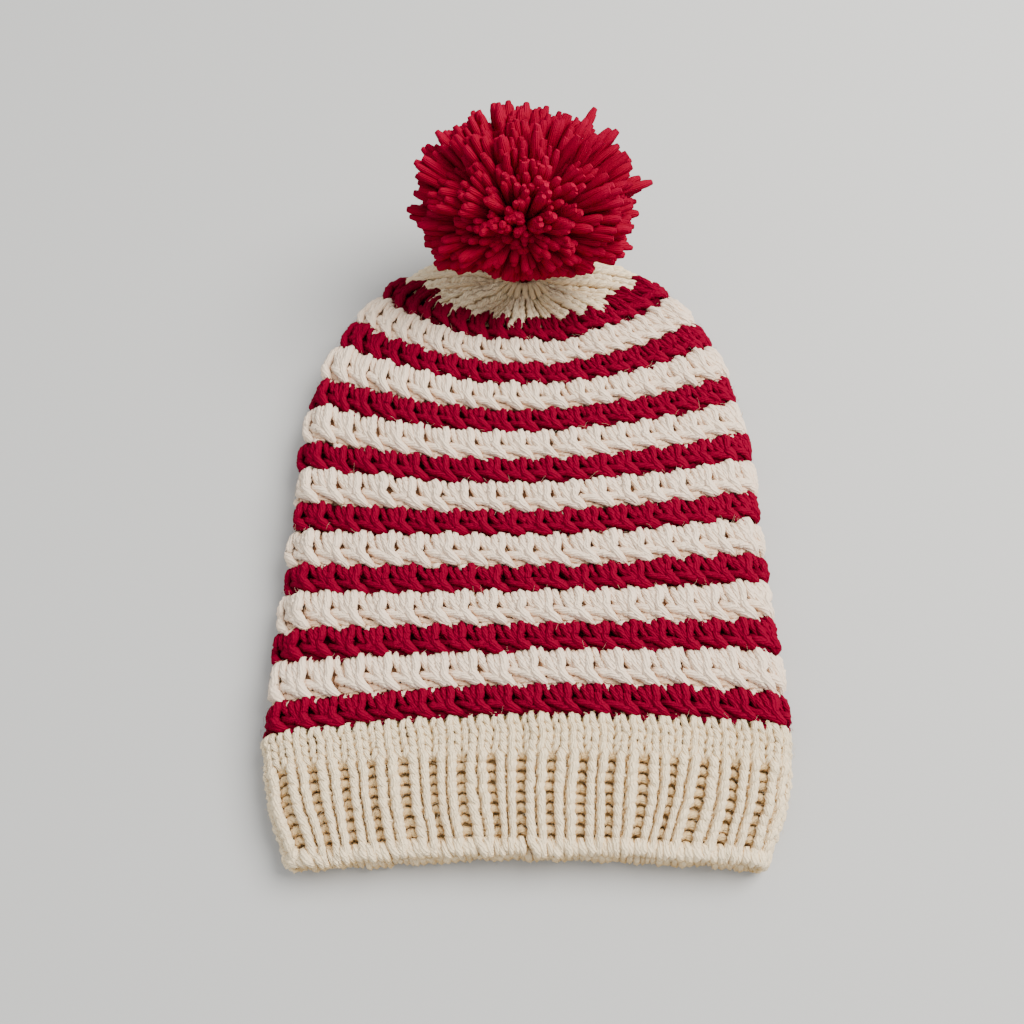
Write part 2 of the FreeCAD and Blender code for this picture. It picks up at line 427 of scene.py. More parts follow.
class Knitting:
    # Collects many placed copies and makes one mesh of them.
    def __init__(self):
        self.points, self.loops, self.totals = [], [], []
        self.uv, self.depth, self.shade = [], [], []
        self.count = 0

    def add(self, placed, pattern, depth, shade):
        self.points.append(placed)
        self.loops.append(pattern["loops"] + self.count)
        self.totals.append(pattern["totals"])
        self.uv.append(pattern["uv"])
        self.depth.append(depth)
        self.shade.append(np.full(len(placed), shade))
        self.count += len(placed)

    def make(self, name, material):
        points = np.concatenate(self.points)
        # what would sink below the sheet is pressed flat against it
        under = np.minimum(points[:, 2] - pressedDepth, 0)
        points[:, 2] = np.where(under < 0, pressedDepth * np.exp(under / pressedDepth), points[:, 2])
        points *= mm
        points[:, 1] += mouthY
        loops = np.concatenate(self.loops)
        totals = np.concatenate(self.totals)
        mesh = bpy.data.meshes.new(name)
        mesh.vertices.add(len(points))
        mesh.vertices.foreach_set("co", points.ravel())
        mesh.loops.add(len(loops))
        mesh.loops.foreach_set("vertex_index", loops)
        mesh.polygons.add(len(totals))
        starts = np.concatenate([[0], np.cumsum(totals)[:-1]])
        mesh.polygons.foreach_set("loop_start", starts)
        mesh.update(calc_edges=True)
        layer = mesh.uv_layers.new(name="yarnMap")
        layer.data.foreach_set("uv", np.concatenate(self.uv).ravel())
        for label, values in (("paintedDepthShade", self.depth), ("yarnShade", self.shade)):
            attribute = mesh.attributes.new(label, "FLOAT", "POINT")
            attribute.data.foreach_set("value", np.concatenate(values))
        mesh.polygons.foreach_set("use_smooth", np.full(len(totals), True))
        mesh.materials.append(material)
        mesh.validate()
        piece = bpy.data.objects.new(name, mesh)
        bpy.context.scene.collection.objects.link(piece)
        return piece


# materials
def srgb(text):
    # sRGB hex to linear
    parts = [int(text[i : i + 2], 16) / 255 for i in (1, 3, 5)]
    return (*[p / 12.92 if p <= 0.04045 else ((p + 0.055) / 1.055) ** 2.4 for p in parts], 1)


def addNode(tree, kind, links=(), **settings):
    # links are (input, output socket) pairs
    node = tree.nodes.new(kind)
    for key, value in settings.items():
        if key.startswith("in_"):
            name = key[3:].replace("_", " ")
            socket = node.inputs[int(name)] if name.isdigit() else node.inputs[name]
            socket.default_value = value
        else:
            setattr(node, key, value)
    for target, source in links:
        tree.links.new(source, node.inputs[target])
    return node


def addMath(tree, operation, links, **settings):
    return addNode(tree, "ShaderNodeMath", links, operation=operation, **settings).outputs[0]


def addRamp(tree, source, stops):
    ramp = addNode(tree, "ShaderNodeValToRGB", [("Fac", source)])
    ramp.color_ramp.interpolation = "EASE"
    while len(ramp.color_ramp.elements) < len(stops):
        ramp.color_ramp.elements.new(0.5)
    for element, (place, colour) in zip(ramp.color_ramp.elements, stops):
        element.position = place
        element.color = srgb(colour)
    return ramp


def spunWool(name, stops, tint, highlightFleckShare, sheen=0.35, shine=0.2, twist=9.0):
    # Plied wool yarn: soft and matt, with a slanting ply and loose fibres; painted shade makes the hollows deeper and
    # warmer in colour.
    material = bpy.data.materials.new(name)
    material.use_nodes = True
    tree = material.node_tree
    tree.nodes.clear()
    depth = addNode(tree, "ShaderNodeAttribute", attribute_name="paintedDepthShade")
    shade = addNode(tree, "ShaderNodeAttribute", attribute_name="yarnShade")
    coordinates = addNode(tree, "ShaderNodeTexCoord")
    # mottled dye over a few millimetres
    dye = addNode(
        tree, "ShaderNodeTexNoise", [("Vector", coordinates.outputs["Object"])], in_Scale=260.0, in_Detail=3.0
    )
    spread = addMath(tree, "MULTIPLY_ADD", [(0, dye.outputs["Fac"])], in_1=0.16, in_2=-0.08)
    # painted shade: the depth value from the mesh darkens the colour of yarn that lies deeper, in hollows and gaps
    dyeAndDepthShade = addMath(tree, "ADD", [(0, depth.outputs["Fac"]), (1, spread)])
    shaded = addMath(tree, "ADD", [(0, dyeAndDepthShade), (1, shade.outputs["Fac"])])
    ramp = addRamp(tree, shaded, stops)
    # painted highlights: the light that fuzz catches is painted as pale fine short flecks, about 0.3 mm apart
    flecks = addNode(
        tree, "ShaderNodeTexNoise", [("Vector", coordinates.outputs["Object"])], in_Scale=2600.0, in_Detail=2.0
    )
    fleckShare = addMath(tree, "MULTIPLY", [(0, flecks.outputs["Fac"])], in_1=highlightFleckShare)
    mixed = addNode(
        tree,
        "ShaderNodeMix",
        [(0, fleckShare), (6, ramp.outputs["Color"])],
        data_type="RGBA",
        blend_type="MIX",
        in_7=srgb(tint),
    )
    # ply: slanting grooves round the yarn, from its own map
    split = addNode(tree, "ShaderNodeSeparateXYZ", [("Vector", coordinates.outputs["UV"])])
    lengthwise = addMath(tree, "MULTIPLY", [(0, split.outputs["Y"])], in_1=twist)
    around = addMath(tree, "MULTIPLY_ADD", [(0, split.outputs["X"]), (2, lengthwise)], in_1=3.0)
    turnAngle = addMath(tree, "MULTIPLY", [(0, around)], in_1=2 * math.pi)
    ply = addMath(tree, "SINE", [(0, turnAngle)])
    fibres = addNode(
        tree,
        "ShaderNodeTexNoise",
        [("Vector", coordinates.outputs["Object"])],
        in_Scale=1500.0,
        in_Detail=4.0,
        in_Distortion=1.5,
    )
    relief = addMath(tree, "MULTIPLY_ADD", [(0, ply), (2, fibres.outputs["Fac"])], in_1=0.35)
    bump = addNode(tree, "ShaderNodeBump", [("Height", relief)], in_Strength=0.8, in_Distance=0.0006)
    shader = addNode(
        tree,
        "ShaderNodeBsdfPrincipled",
        [("Base Color", mixed.outputs[2]), ("Normal", bump.outputs["Normal"])],
        in_Roughness=0.9,
        in_IOR=1.54,
        in_Sheen_Weight=sheen,
        in_Sheen_Roughness=0.5,
        in_Specular_IOR_Level=shine,
    )
    shader.inputs["Sheen Tint"].default_value = srgb(tint)
    addNode(tree, "ShaderNodeOutputMaterial", [("Surface", shader.outputs["BSDF"])])
    return material


# each ramp runs from dark painted shade for the deepest yarn to the lit colour of the highest yarn
creamWool = spunWool(
    "creamSpunWool",
    [(0.0, "#8E6226"), (0.2, "#D0A458"), (0.45, "#ECC88C"), (0.8, "#FFE5B8")],
    "#FFF6E8",
    0.12,
)
# painted reflection: the stripes' cream is pinker, as if lit by light bounced off the red stripes, and its dark end
# is deeper painted shade
creamWoolRedBounce = spunWool(
    "creamSpunWoolRedBounce",
    [(0.0, "#683818"), (0.2, "#B27C48"), (0.45, "#E6BC92"), (0.8, "#FFE3C4")],
    "#FFF2EC",
    0.12,
)
redWool = spunWool(
    "redSpunWool",
    [(0.0, "#160005"), (0.3, "#32000A"), (0.55, "#560014"), (0.9, "#7C0024")],
    "#8E0230",
    0.25,
    sheen=0.0,
    shine=0.03,
)
pompomWool = spunWool(
    "raspberryCutWool",
    [(0.0, "#4E000C"), (0.3, "#720017"), (0.6, "#8E0021"), (1.0, "#A2002F")],
    "#A8043C",
    0.25,
    sheen=0.02,
    shine=0.04,
    twist=14.0,
)
print("wool dyed")

# stitches, each drawn once in a cell 1 wide and 1 tall
cell = {
    "repeats": 36,  # rib or star repeats round the hat
    "width": 12.2,
}


def inCell(radius, points, width, height):
    return radius, [(p[0] * width, p[1] * height, *p[2:]) for p in points]


def starStrands(width, height, thick):
    # one star: legs that fan out upwards, gathered at a waist and leaving as a tail to the lower right
    star = [
        (
            1.95,
            [
                (0.66, 1.04, -1.6, 0.8), (0.65, 0.98, 0.6), (0.71, 0.83, 1.9), (0.72, 0.64, 2.0),
                (0.64, 0.46, 1.9), (0.74, 0.29, 1.9), (0.95, 0.14, 1.2), (1.14, 0.03, -0.7, 0.6),
            ],
        ),
        (
            1.8,
            [
                (0.42, 0.98, -1.6, 0.8), (0.42, 0.92, 0.3), (0.47, 0.74, 1.3), (0.52, 0.54, 1.5),
                (0.66, 0.34, 1.0),
            ],
        ),
        (
            1.75,
            [
                (0.16, 0.95, -1.7, 0.8), (0.17, 0.89, 0.1), (0.25, 0.69, 0.9), (0.36, 0.48, 1.1),
                (0.52, 0.30, 0.8),
            ],
        ),
        (
            1.55,
            [
                (0.93, 1.03, -1.6, 0.8), (0.92, 0.96, 0.2), (0.93, 0.81, 0.8), (1.03, 0.66, 0.3),
                (1.16, 0.50, -0.3), (1.3, 0.38, -1.0),
            ],
        ),
        (
            1.85,
            [
                (-0.08, 0.44, -1.4), (0.10, 0.37, -0.2), (0.34, 0.33, 0.6), (0.6, 0.25, 1.0),
                (0.86, 0.12, 0.7), (1.06, 0.05, -0.6, 0.7),
            ],
        ),
        (
            1.35,
            [
                (0.13, 0.04, -1.9, 0.8), (0.19, -0.05, -0.5), (0.30, -0.09, 0.1), (0.41, -0.04, -0.6),
                (0.46, 0.05, -1.9, 0.8),
            ],
        ),
        (2.8, [(0.24, 0.86, -2.4), (0.36, 0.64, -1.0), (0.50, 0.42, -0.8), (0.62, 0.24, -1.6)]),
        (1.7, [(0.02, 0.86, -2.4), (0.10, 0.70, -1.5), (0.2, 0.56, -1.3), (0.3, 0.42, -1.6)]),
        (1.8, [(0.0, 0.22, -2.2), (0.2, 0.16, -1.3), (0.44, 0.12, -1.3), (0.7, 0.06, -2.0)]),
    ]
    return [inCell(radius * thick, points, width, height) for radius, points in star]


def legPair(centre, spread, radius, height, lift=0.0):
    # one knit stitch: two legs of a V, which overlap the row above
    return [
        (
            radius,
            [
                (centre + side * 0.25 * spread, -0.42 * height, -1.5 + lift),
                (centre + side * 0.62 * spread, -0.05 * height, 0.5 + lift),
                (centre + side * 0.98 * spread, 0.45 * height, 0.9 + lift),
                (centre + side * 1.08 * spread, 0.92 * height, 0.1 + lift),
                (centre + side * 0.9 * spread, 1.12 * height, -1.3 + lift, 0.8),
            ],
        )
        for side in (-1, 1)
    ]


def ribStrands(width, height):
    # a knit column standing out as two beaded ropes, and a sunk purl column
    knit = width * 0.30
    purl = width * 0.80
    ropes = []
    for side in (-1, 1):
        ropes.append(
            (
                1.85,
                [
                    (knit + side * 1.1, -0.45 * height, -1.2, 0.75),
                    (knit + side * 2.0, -0.12 * height, 0.7, 0.95),
                    (knit + side * 2.6, 0.40 * height, 1.5, 1.12),
                    (knit + side * 2.5, 0.95 * height, 0.2, 0.95),
                    (knit + side * 2.1, 1.25 * height, -1.2, 0.7),
                ],
            )
        )
    bar = (
        1.8,
        [
            (purl - 3.4, 0.10 * height, -2.8),
            (purl - 1.7, 0.40 * height, -2.4),
            (purl, 0.58 * height, -2.0),
            (purl + 1.7, 0.40 * height, -2.4),
            (purl + 3.4, 0.10 * height, -2.8),
        ],
    )
    ladder = (
        1.2,
        [
            (knit - 1.7, 0.15 * height, -1.7),
            (knit, 0.35 * height, -0.9),
            (knit + 1.7, 0.15 * height, -1.7),
        ],
    )
    return ropes + [bar, ladder]


def wrapStrand(width):
    # cast-on: each loop turns round the edge from the outside to the inside
    loops = []
    for start, lift in ((0.10, 0.7), (0.36, 0.4), (0.64, -0.5), (0.86, 0.0)):
        x = start * width
        loops.append(
            (
                2.0,
                [
                    (x - 0.2, 6.4, -0.9 + lift, 0.8),
                    (x + 0.1, 4.5, 0.7 + lift),
                    (x + 0.8, 2.4, 0.6 + lift, 1.1),
                    (x + 1.5, 1.2, -1.9),
                    (x + 2.0, 2.6, -4.0),
                    (x + 2.2, 5.0, -4.5, 0.8),
                ],
            )
        )
    return loops


def variants(strands, count, jitter, steps=3, sides=1, seed=0, lump=0.2):
    return [makeYarn(strands, steps, sides, jitter, seed * 100 + i, lump) for i in range(count)]


# painted shade: a yarn point's height, as a share from deep to high, picks how dark its colour is painted
def depthShadeOf(heights, low=-2.6, high=2.2):
    return np.clip((heights - low) / (high - low), 0, 1)


def layRow(knitting, patterns, along, dice, repeats=cell["repeats"], phase=0.0, wobble=0.18, bias=None, stretch=None):
    # copies a stitch all the way round the hat at one place along it
    for repeat in range(repeats):
        pattern = patterns[dice.integers(len(patterns))]
        local = pattern["points"].copy()
        local[:, 0] += dice.normal(0, wobble)
        local[:, 1] += dice.normal(0, wobble)
        local[:, 2] += dice.normal(0, wobble * 0.8)
        turn = (repeat + phase + local[:, 0] / cell["width"]) / repeats
        if stretch is not None:
            local[:, 1] *= stretch((repeat + phase + 0.5) / repeats)
        if bias is not None:
            turn = turn + bias(turn, along + local[:, 1])
        placed = hat.place(turn, along + local[:, 1], local[:, 2])
        knitting.add(placed, pattern, depthShadeOf(pattern["heights"]), dice.normal(0, 0.03))


def addSheet(knitting, points, depth, layers, columns, uv):
    # joins layers of points into a tube that is closed on itself
    i, j = np.meshgrid(np.arange(layers), np.arange(columns), indexing="ij")
    nextI, nextJ = (i + 1) % layers, (j + 1) % columns
    loops = np.stack([i * columns + j, i * columns + nextJ, nextI * columns + nextJ, nextI * columns + j], axis=-1)
    pattern = {
        "loops": loops.reshape(-1),
        "totals": np.full(layers * columns, 4),
        "uv": uv(i, j).reshape(-1, 2),
    }
    knitting.add(np.concatenate(points), pattern, np.concatenate(depth), 0.0)


def groundSheet(knitting, start, end, outside=-1.9, inside=-4.6, columns=288):
    # the ground behind the stitches: a closed band with an outer and an inner face, painted darker as shade seen
    # through the gaps
    rows = max(2, int((end - start) / 2.5))
    ring = np.linspace(0, 1, columns, endpoint=False)
    layers = [(along, outside) for along in np.linspace(start, end, rows)]
    layers += [(along, inside) for along in np.linspace(end, start, rows)]
    points, depth = [], []
    for along, above in layers:
        points.append(hat.place(ring, np.full(columns, along), np.full(columns, above)))
        # painted shade: the outer face is coloured dark tan (0.24) and the inner face a lighter middle tone (0.6)
        depth.append(np.full(columns, 0.24 if above == outside else 0.6))

    def sheetMap(i, j):
        corners = [(0, 0), (1, 0), (1, 1), (0, 1)]
        return np.stack([np.stack([(j + a) / columns * 72, (i + b) * 0.6], -1) for a, b in corners], axis=-2)

    addSheet(knitting, points, depth, len(layers), columns, sheetMap)


def finishBand(knitting, name, material):
    piece = knitting.make(f"knit_{name}", material)
    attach(piece, "hat")
    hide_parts(name)
    triangles = int(sum(t.sum() - 2 * len(t) for t in knitting.totals))
    print(piece.name, triangles, "triangles")
    return piece


# brim
brimKnit = {
    "ribRows": 9,
    "plainRows": 4,
    "liningRows": 12,
    "innerFace": -6.0,
    "edgeMiddle": -1.6,
    "wander": 0.0041,  # as a share of a turn
    "seed": 21,
}


def wander(turn, along):
    # rib columns drift a little from row to row
    return brimKnit["wander"] * softNoise(turn * 70, along / 16, 31) * smoothStep(along, 52, 20)


def makeBrim():
    dice = np.random.default_rng(brimKnit["seed"])
    width = cell["width"]
    edge = Knitting()
    groundSheet(edge, 2.8, bandEnd["cast_on_edge"] / mm + 0.6)
    wraps = variants(wrapStrand(width), 5, 0.4, seed=1)
    for pattern in wraps:
        # the loops' halves inside the mouth take the painted depth shade of their outside halves, mirrored about the
        # edge's middle
        pattern["heights"] = np.maximum(pattern["heights"], brimKnit["edgeMiddle"] * 2 - pattern["heights"])
    layRow(edge, wraps, 0.0, dice, wobble=0.35, bias=wander)
    finishBand(edge, "cast_on_edge", creamWool)

    ribStart = bandStart["rib_brim"] / mm
    ribEnd = bandEnd["rib_brim"] / mm
    rowHeight = (ribEnd - ribStart) / brimKnit["ribRows"]
    rib = Knitting()
    groundSheet(rib, ribStart + 0.6, ribEnd + 0.6, outside=-3.4)
    ribs = variants(ribStrands(width, rowHeight), 4, 0.16, seed=2)
    for row in range(brimKnit["ribRows"]):
        layRow(rib, ribs, ribStart + row * rowHeight, dice, bias=wander)
    finishBand(rib, "rib_brim", creamWool)

    lining = Knitting()
    inner = variants(ribStrands(width, rowHeight), 4, 0.16, steps=2, sides=0, seed=8, lump=0.1)
    for pattern in inner:
        pattern["points"][:, 0] += width / 2
        pattern["points"][:, 2] = brimKnit["innerFace"] - pattern["points"][:, 2]
        faces = np.split(pattern["loops"], np.cumsum(pattern["totals"])[:-1])
        pattern["loops"] = np.concatenate([face[::-1] for face in faces])  # turned over with the mirroring
    for row in range(brimKnit["liningRows"]):
        layRow(lining, inner, ribStart + 1 + row * rowHeight, dice, bias=wander)
    piece = lining.make("knit_rib_inside", creamWool)
    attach(piece, "hat")

    plainStart = bandStart["plain_band"] / mm
    plainEnd = bandEnd["plain_band"] / mm
    rowHeight = (plainEnd - plainStart) / brimKnit["plainRows"]
    plain = Knitting()
    groundSheet(plain, plainStart + 0.6, plainEnd + 0.6)
    stitches = legPair(width * 0.30, 2.1, 1.5, rowHeight) + legPair(width * 0.80, 1.9, 1.35, rowHeight, -0.25)
    plains = variants(stitches, 4, 0.14, seed=3)
    for row in range(brimKnit["plainRows"]):
        layRow(plain, plains, plainStart + row * rowHeight, dice, bias=wander)
    finishBand(plain, "plain_band", creamWool)


# stripes
stripeKnit = {
    "seed": 40,
    "valleyReach": 0.75,  # how much deeper the last stripe is in the valleys between the pleats
    "narrowing": 2.0,  # the stars are this much narrower towards the crown
    "redThick": 0.95,
    "creamThick": 1.04,
    "wobble": 0.32,
}


def pleatRidge(turn):
    # 1 on a ridge of the gathered end and 0 in a valley
    return 0.5 + 0.5 * math.cos(hatShape["lobes"] * (turn * 2 * math.pi - math.radians(hatShape["lobeTurn"])))


def lastStripeDepth(turn):
    return 1 + stripeKnit["valleyReach"] * (1 - pleatRidge(turn))


def makeStripes():
    dice = np.random.default_rng(stripeKnit["seed"])
    for name in bandNames[3:-1]:
        start, end = bandStart[name] / mm, bandEnd[name] / mm
        red = name.startswith("red")
        stripe = Knitting()
        groundSheet(stripe, start + 0.6, end + 0.6)
        pitch = cell["width"] - stripeKnit["narrowing"] * smoothStep(start, 150, 235)
        around = np.interp(start, hat.alongs, hat.lengths)
        thick = stripeKnit["redThick"] if red else stripeKnit["creamThick"]
        strands = starStrands(cell["width"], end - start, thick)
        patterns = variants(strands, 6, 0.26, seed=stripeKnit["seed"] + len(name) + int(start))
        phase = dice.uniform(0, 1)
        stretch = lastStripeDepth if name == bandNames[-2] else None
        layRow(stripe, patterns, start, dice, round(around / pitch), phase, stripeKnit["wobble"], stretch=stretch)
        finishBand(stripe, name, redWool if red else creamWoolRedBounce)


# crown
crownKnit = {
    "seed": 60,
    "row": 4.7,
    "rows": 36,
    "columns": 36,
    "stitch": 6.4,
    "narrowest": 3.0,
    "opening": 4.4,  # left free round the tie, past the ends of the stitches
    "tongue": 8.0,  # how far the pleats' ridges reach down over the last stripe
}


def makeCrown():
    dice = np.random.default_rng(crownKnit["seed"])
    width = cell["width"]
    top = Knitting()
    patterns = variants(legPair(width * 0.5, 1.75, 1.65, crownKnit["row"]), 6, 0.25, steps=2, seed=6)
    columns = crownKnit["columns"]
    for row in range(crownKnit["rows"]):
        along = row * crownKnit["row"] - crownKnit["tongue"] / 2
        for column in range(columns):
            middle = (column + 0.5) / columns
            start = along + crownKnit["tongue"] * 1.5 * (1 - pleatRidge(middle))
            if start + crownKnit["row"] > crown.wayLength(middle) - crownKnit["opening"]:
                continue
            ends = crown.place(np.array([column, column + 1]) / columns, np.full(2, max(start, 0.0)), np.zeros(2))
            spacing = np.linalg.norm(ends[1] - ends[0])
            if spacing < crownKnit["narrowest"] and column % 2:
                continue
            share = 2 if spacing < crownKnit["narrowest"] else 1 / max(1, round(spacing / crownKnit["stitch"]))
            for part in range(max(1, round(1 / share))):
                pattern = patterns[dice.integers(len(patterns))]
                local = pattern["points"] + dice.normal(0, 0.2, 3)
                turn = (column + (part + 0.5) * share + (local[:, 0] / width - 0.5) * 1.75 * share) / columns
                placed = crown.place(turn, start + local[:, 1], local[:, 2])
                top.add(placed, pattern, depthShadeOf(pattern["heights"]), dice.normal(0, 0.03))
    crownSheet(top)
    finishBand(top, "crown_top", creamWool)


def crownSheet(knitting, columns=240):
    ring = np.linspace(0, 1, columns, endpoint=False)
    shares = np.linspace(0.004, 1, 26)
    ways = np.array([crown.wayLength(turn) for turn in ring]) - crownKnit["opening"]
    layers = [(share, -1.7) for share in shares] + [(share, -3.0) for share in shares[::-1]]
    points, depth = [], []
    for share, above in layers:
        points.append(crown.place(ring, ways * share, np.full(columns, above)))
        # painted shade: the sheet under the crown's stitches is coloured a shaded middle tone
        depth.append(np.full(columns, 0.5))
    addSheet(knitting, points, depth, len(layers), columns, lambda i, j: np.zeros((i.size * 4, 2)))


makeBrim()
makeStripes()
makeCrown()

# pompom
pompomShape = {
    "strands": 1650,
    "halfWidth": 51.5,
    "halfDepth": 38.0,
    "squareness": 2.1,
    "lowSquareness": 3.3,
    "thick": 1.95,
    "heart": (-2.5, -22.0, 2.5),  # where the strands are bound, from the middle of the ball
    "tufts": 330,
    "tuftPull": 0.38,
    "bend": 6.2,
    "tipDisorder": 0.04,
    "tuftDisorder": 0.08,
    "eyeSize": 0.3,
    "eyeDepth": 0.2,  # how much shorter the strands are at the eye
    "clearance": 1.4,  # the underside stays this far inside the CAD ball
    "seed": 7,
}


def spreadDirections(count, dice, jitter):
    # evenly spread directions with a little disorder
    i = np.arange(count)
    level = 1 - 2 * (i + 0.5) / count
    turn = i * 2.399963
    ring = np.sqrt(1 - level**2)
    directions = np.stack([ring * np.cos(turn), ring * np.sin(turn), level], axis=-1)
    directions += dice.normal(0, jitter, directions.shape)
    return directions / np.linalg.norm(directions, axis=1, keepdims=True)


def makePompom():
    dice = np.random.default_rng(pompomShape["seed"])
    swells = ((0, 0.5), (0.4, 0.78), (0.75, 1.0), (0.95, 1.17), (1.0, 0.62))
    strand = makeYarn([(1.0, [(0, 0, place, swell) for place, swell in swells])], steps=2, lump=0.0)
    local = strand["points"]
    share = np.clip(local[:, 2], 0, 1)
    centre = np.array(ballCentre) / mm
    centre[1] -= mouthY / mm
    axis = np.array(tieAxis)
    heart = np.array(pompomShape["heart"])
    eye = heart / np.linalg.norm(heart)
    tips = spreadDirections(pompomShape["strands"], dice, pompomShape["tipDisorder"])
    tufts = spreadDirections(pompomShape["tufts"], dice, pompomShape["tuftDisorder"])
    ball = Knitting()
    wide, deep = pompomShape["halfWidth"], pompomShape["halfDepth"]
    cadWide, _, cadDeep = (highest("pompom_ball") - lowest("pompom_ball")) / mm / 2
    for tip in tips:
        nearest = np.argmax(tufts @ tip)
        tip = tip + pompomShape["tuftPull"] * (tufts[nearest] - tip)
        tip /= np.linalg.norm(tip)
        rest = math.sqrt(max(1 - tip[0] ** 2, 0))
        low = smoothStep(-tip @ axis, -0.1, 0.5)
        power = pompomShape["squareness"] + (pompomShape["lowSquareness"] - pompomShape["squareness"]) * low
        size = ((abs(tip[0]) / wide) ** power + (rest / deep) ** power) ** (-1 / power)
        tuftDice = np.random.default_rng(nearest)
        size *= dice.normal(1.0, 0.03) * tuftDice.normal(1.0, 0.035)
        away = math.acos(np.clip(tip @ eye, -1, 1))
        size *= 1 - pompomShape["eyeDepth"] * math.exp(-((away / pompomShape["eyeSize"]) ** 2))
        # the underside stays inside the ball that clears the crown
        clear = 1 / math.sqrt((tip[0] / cadWide) ** 2 + (rest / cadDeep) ** 2) - pompomShape["clearance"]
        size = min(size, clear * (1.3 - 0.3 * smoothStep(-tip @ axis, 0.4, 0.75)))
        end = tip * size
        path = heart + (end - heart) * (0.06 + 0.94 * share**0.9)[:, None]
        bend = (dice.normal(0, 0.5, 3) + tuftDice.normal(0, 0.7, 3)) * pompomShape["bend"] / 2
        bend = bend * min(1, np.linalg.norm(end - heart) / 40) * (1 - 0.85 * low)
        path = centre + path + bend * (share**2)[:, None]
        tip = (end - heart) / np.linalg.norm(end - heart)
        across = np.cross(tip, axis + 0.01)
        across /= np.linalg.norm(across)
        up = np.cross(tip, across)
        thick = pompomShape["thick"] * dice.uniform(0.75, 1.22)
        placed = path + thick * (local[:, 0:1] * across + local[:, 1:2] * up)
        # painted shade: strands are painted darker towards the tie at the heart of the ball and lighter towards their
        # tips
        depth = np.clip(0.1 + 0.75 * share**2.4, 0, 1)
        ball.add(placed, strand, depth, dice.normal(0, 0.05) + tuftDice.normal(0, 0.04))
    piece = ball.make("pompom_strands", pompomWool)
    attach(piece, "pompom")
    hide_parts("pompom_ball")
    print(piece.name, int(sum(t.sum() - 2 * len(t) for t in ball.totals)), "triangles")


makePompom()

# the tie that holds the pompom
tieKnit = {
    "ringRound": 6.6,
    "ringYarn": 2.0,
    "gatherLoops": 20,
    "loopYarn": 1.4,
    "cordYarn": 1.05,
    "cordTurns": 5,
    "knotRound": 2.0,
    "knotYarn": 1.35,
    "bindingRound": 7.0,
}


def alongTie(points):
    # from a frame whose z is the tie, with the gather at its origin, to the hat's millimetres
    side = np.array((1.0, 0, 0))
    axis = np.array(tieAxis)
    origin = np.array(gather) / mm
    origin[1] -= mouthY / mm
    return origin + points @ np.stack([side, np.cross(axis, side), axis])


def ringPoints(radius, turns, rise, count, wave=0.0):
    angles = np.linspace(0, 2 * math.pi * turns, count)
    return [
        (
            (radius + wave * math.sin(3 * a)) * math.cos(a),
            (radius + wave * math.sin(3 * a)) * math.sin(a),
            rise * a / (2 * math.pi * turns) + wave * math.cos(2 * a),
        )
        for a in angles
    ]


def tiePiece(name, node, strands, ridesOn, material, shift=(0, 0, 0), turned=False, shade=0.0):
    yarn = makeYarn(strands, steps=3, sides=2, jitter=0.25, seed=9, lump=0.12)
    points = yarn["points"]
    if turned:
        points = points[:, [2, 1, 0]] * (1, -1, 1)
    piece = Knitting()
    # the tie's yarn is painted one light depth shade all over
    piece.add(alongTie(points + np.array(shift)), yarn, np.full(len(points), 0.7), shade)
    knitted = piece.make(name, material)
    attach(knitted, ridesOn)
    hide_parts(node)


def makeTie():
    ring = ringPoints(tieKnit["ringRound"], 1.03, 0.8, 20, 0.15)
    loops = [(tieKnit["ringYarn"], ring)]
    path = [(13.5, -1.6), (10.8, 0.6), (7.6, 2.3), (5.0, 0.9), (4.3, -1.8)]  # radius and height
    for i in range(tieKnit["gatherLoops"]):
        angle = 2 * math.pi * i / tieKnit["gatherLoops"]
        across, up = math.cos(angle), math.sin(angle)
        loops.append((tieKnit["loopYarn"], [(across * r, up * r, h) for r, h in path]))
    # painted shadow: the drawn ring is coloured darker, as shade under the pompom
    tiePiece("drawn_yarn_ring", "gather_yarn", loops, "hat", creamWool, shade=-0.12)
    low = (lowest("tie_shank") - gather).dot(tieAxis) / mm
    shank = (highest("tie_shank") - lowest("tie_shank")).dot(tieAxis) / mm
    cord = []
    for start in (0, math.pi):
        turnsOfCord = [start + 2 * math.pi * tieKnit["cordTurns"] * i / 40 for i in range(41)]
        cord.append(
            (
                tieKnit["cordYarn"],
                [(math.cos(a), math.sin(a), low + shank * i / 40) for i, a in enumerate(turnsOfCord)],
            )
        )
    tiePiece("tie_cord", "tie_shank", cord, "tie", pompomWool)
    knotPlace = ((lowest("anchor_knot") + highest("anchor_knot")) / 2 - gather).dot(tieAxis) / mm
    loops = [
        (tieKnit["knotYarn"], ringPoints(tieKnit["knotRound"], 1.6, 2.4, 18, 0.3)),
        (
            tieKnit["knotYarn"],
            [
                (-2.0, -0.8, 0),
                (-0.8, 1.3, 1.7),
                (1.1, 0.5, 1.9),
                (2.0, -0.9, 0.5),
                (0.4, -1.9, -0.6),
                (-1.6, 0.2, -0.9),
            ],
        ),
    ]
    tiePiece("tie_knot", "anchor_knot", loops, "anchor", pompomWool, (0, 0, knotPlace - 0.6))
    bindingPlace = ((lowest("binding_tie") + highest("binding_tie")) / 2 - gather).dot(tieAxis) / mm
    binding = [(1.7, ringPoints(tieKnit["bindingRound"], 2.1, 1.2, 34, 0.2))]
    tiePiece("tie_binding", "binding_tie", binding, "pompom", pompomWool, (0, 0, bindingPlace), True)
    print("tie made")


makeTie()

# loose fibres
fuzz = {
    "onHat": 9000,
    "onPompom": 2200,
    "thick": 0.045,
    "seed": 77,
}


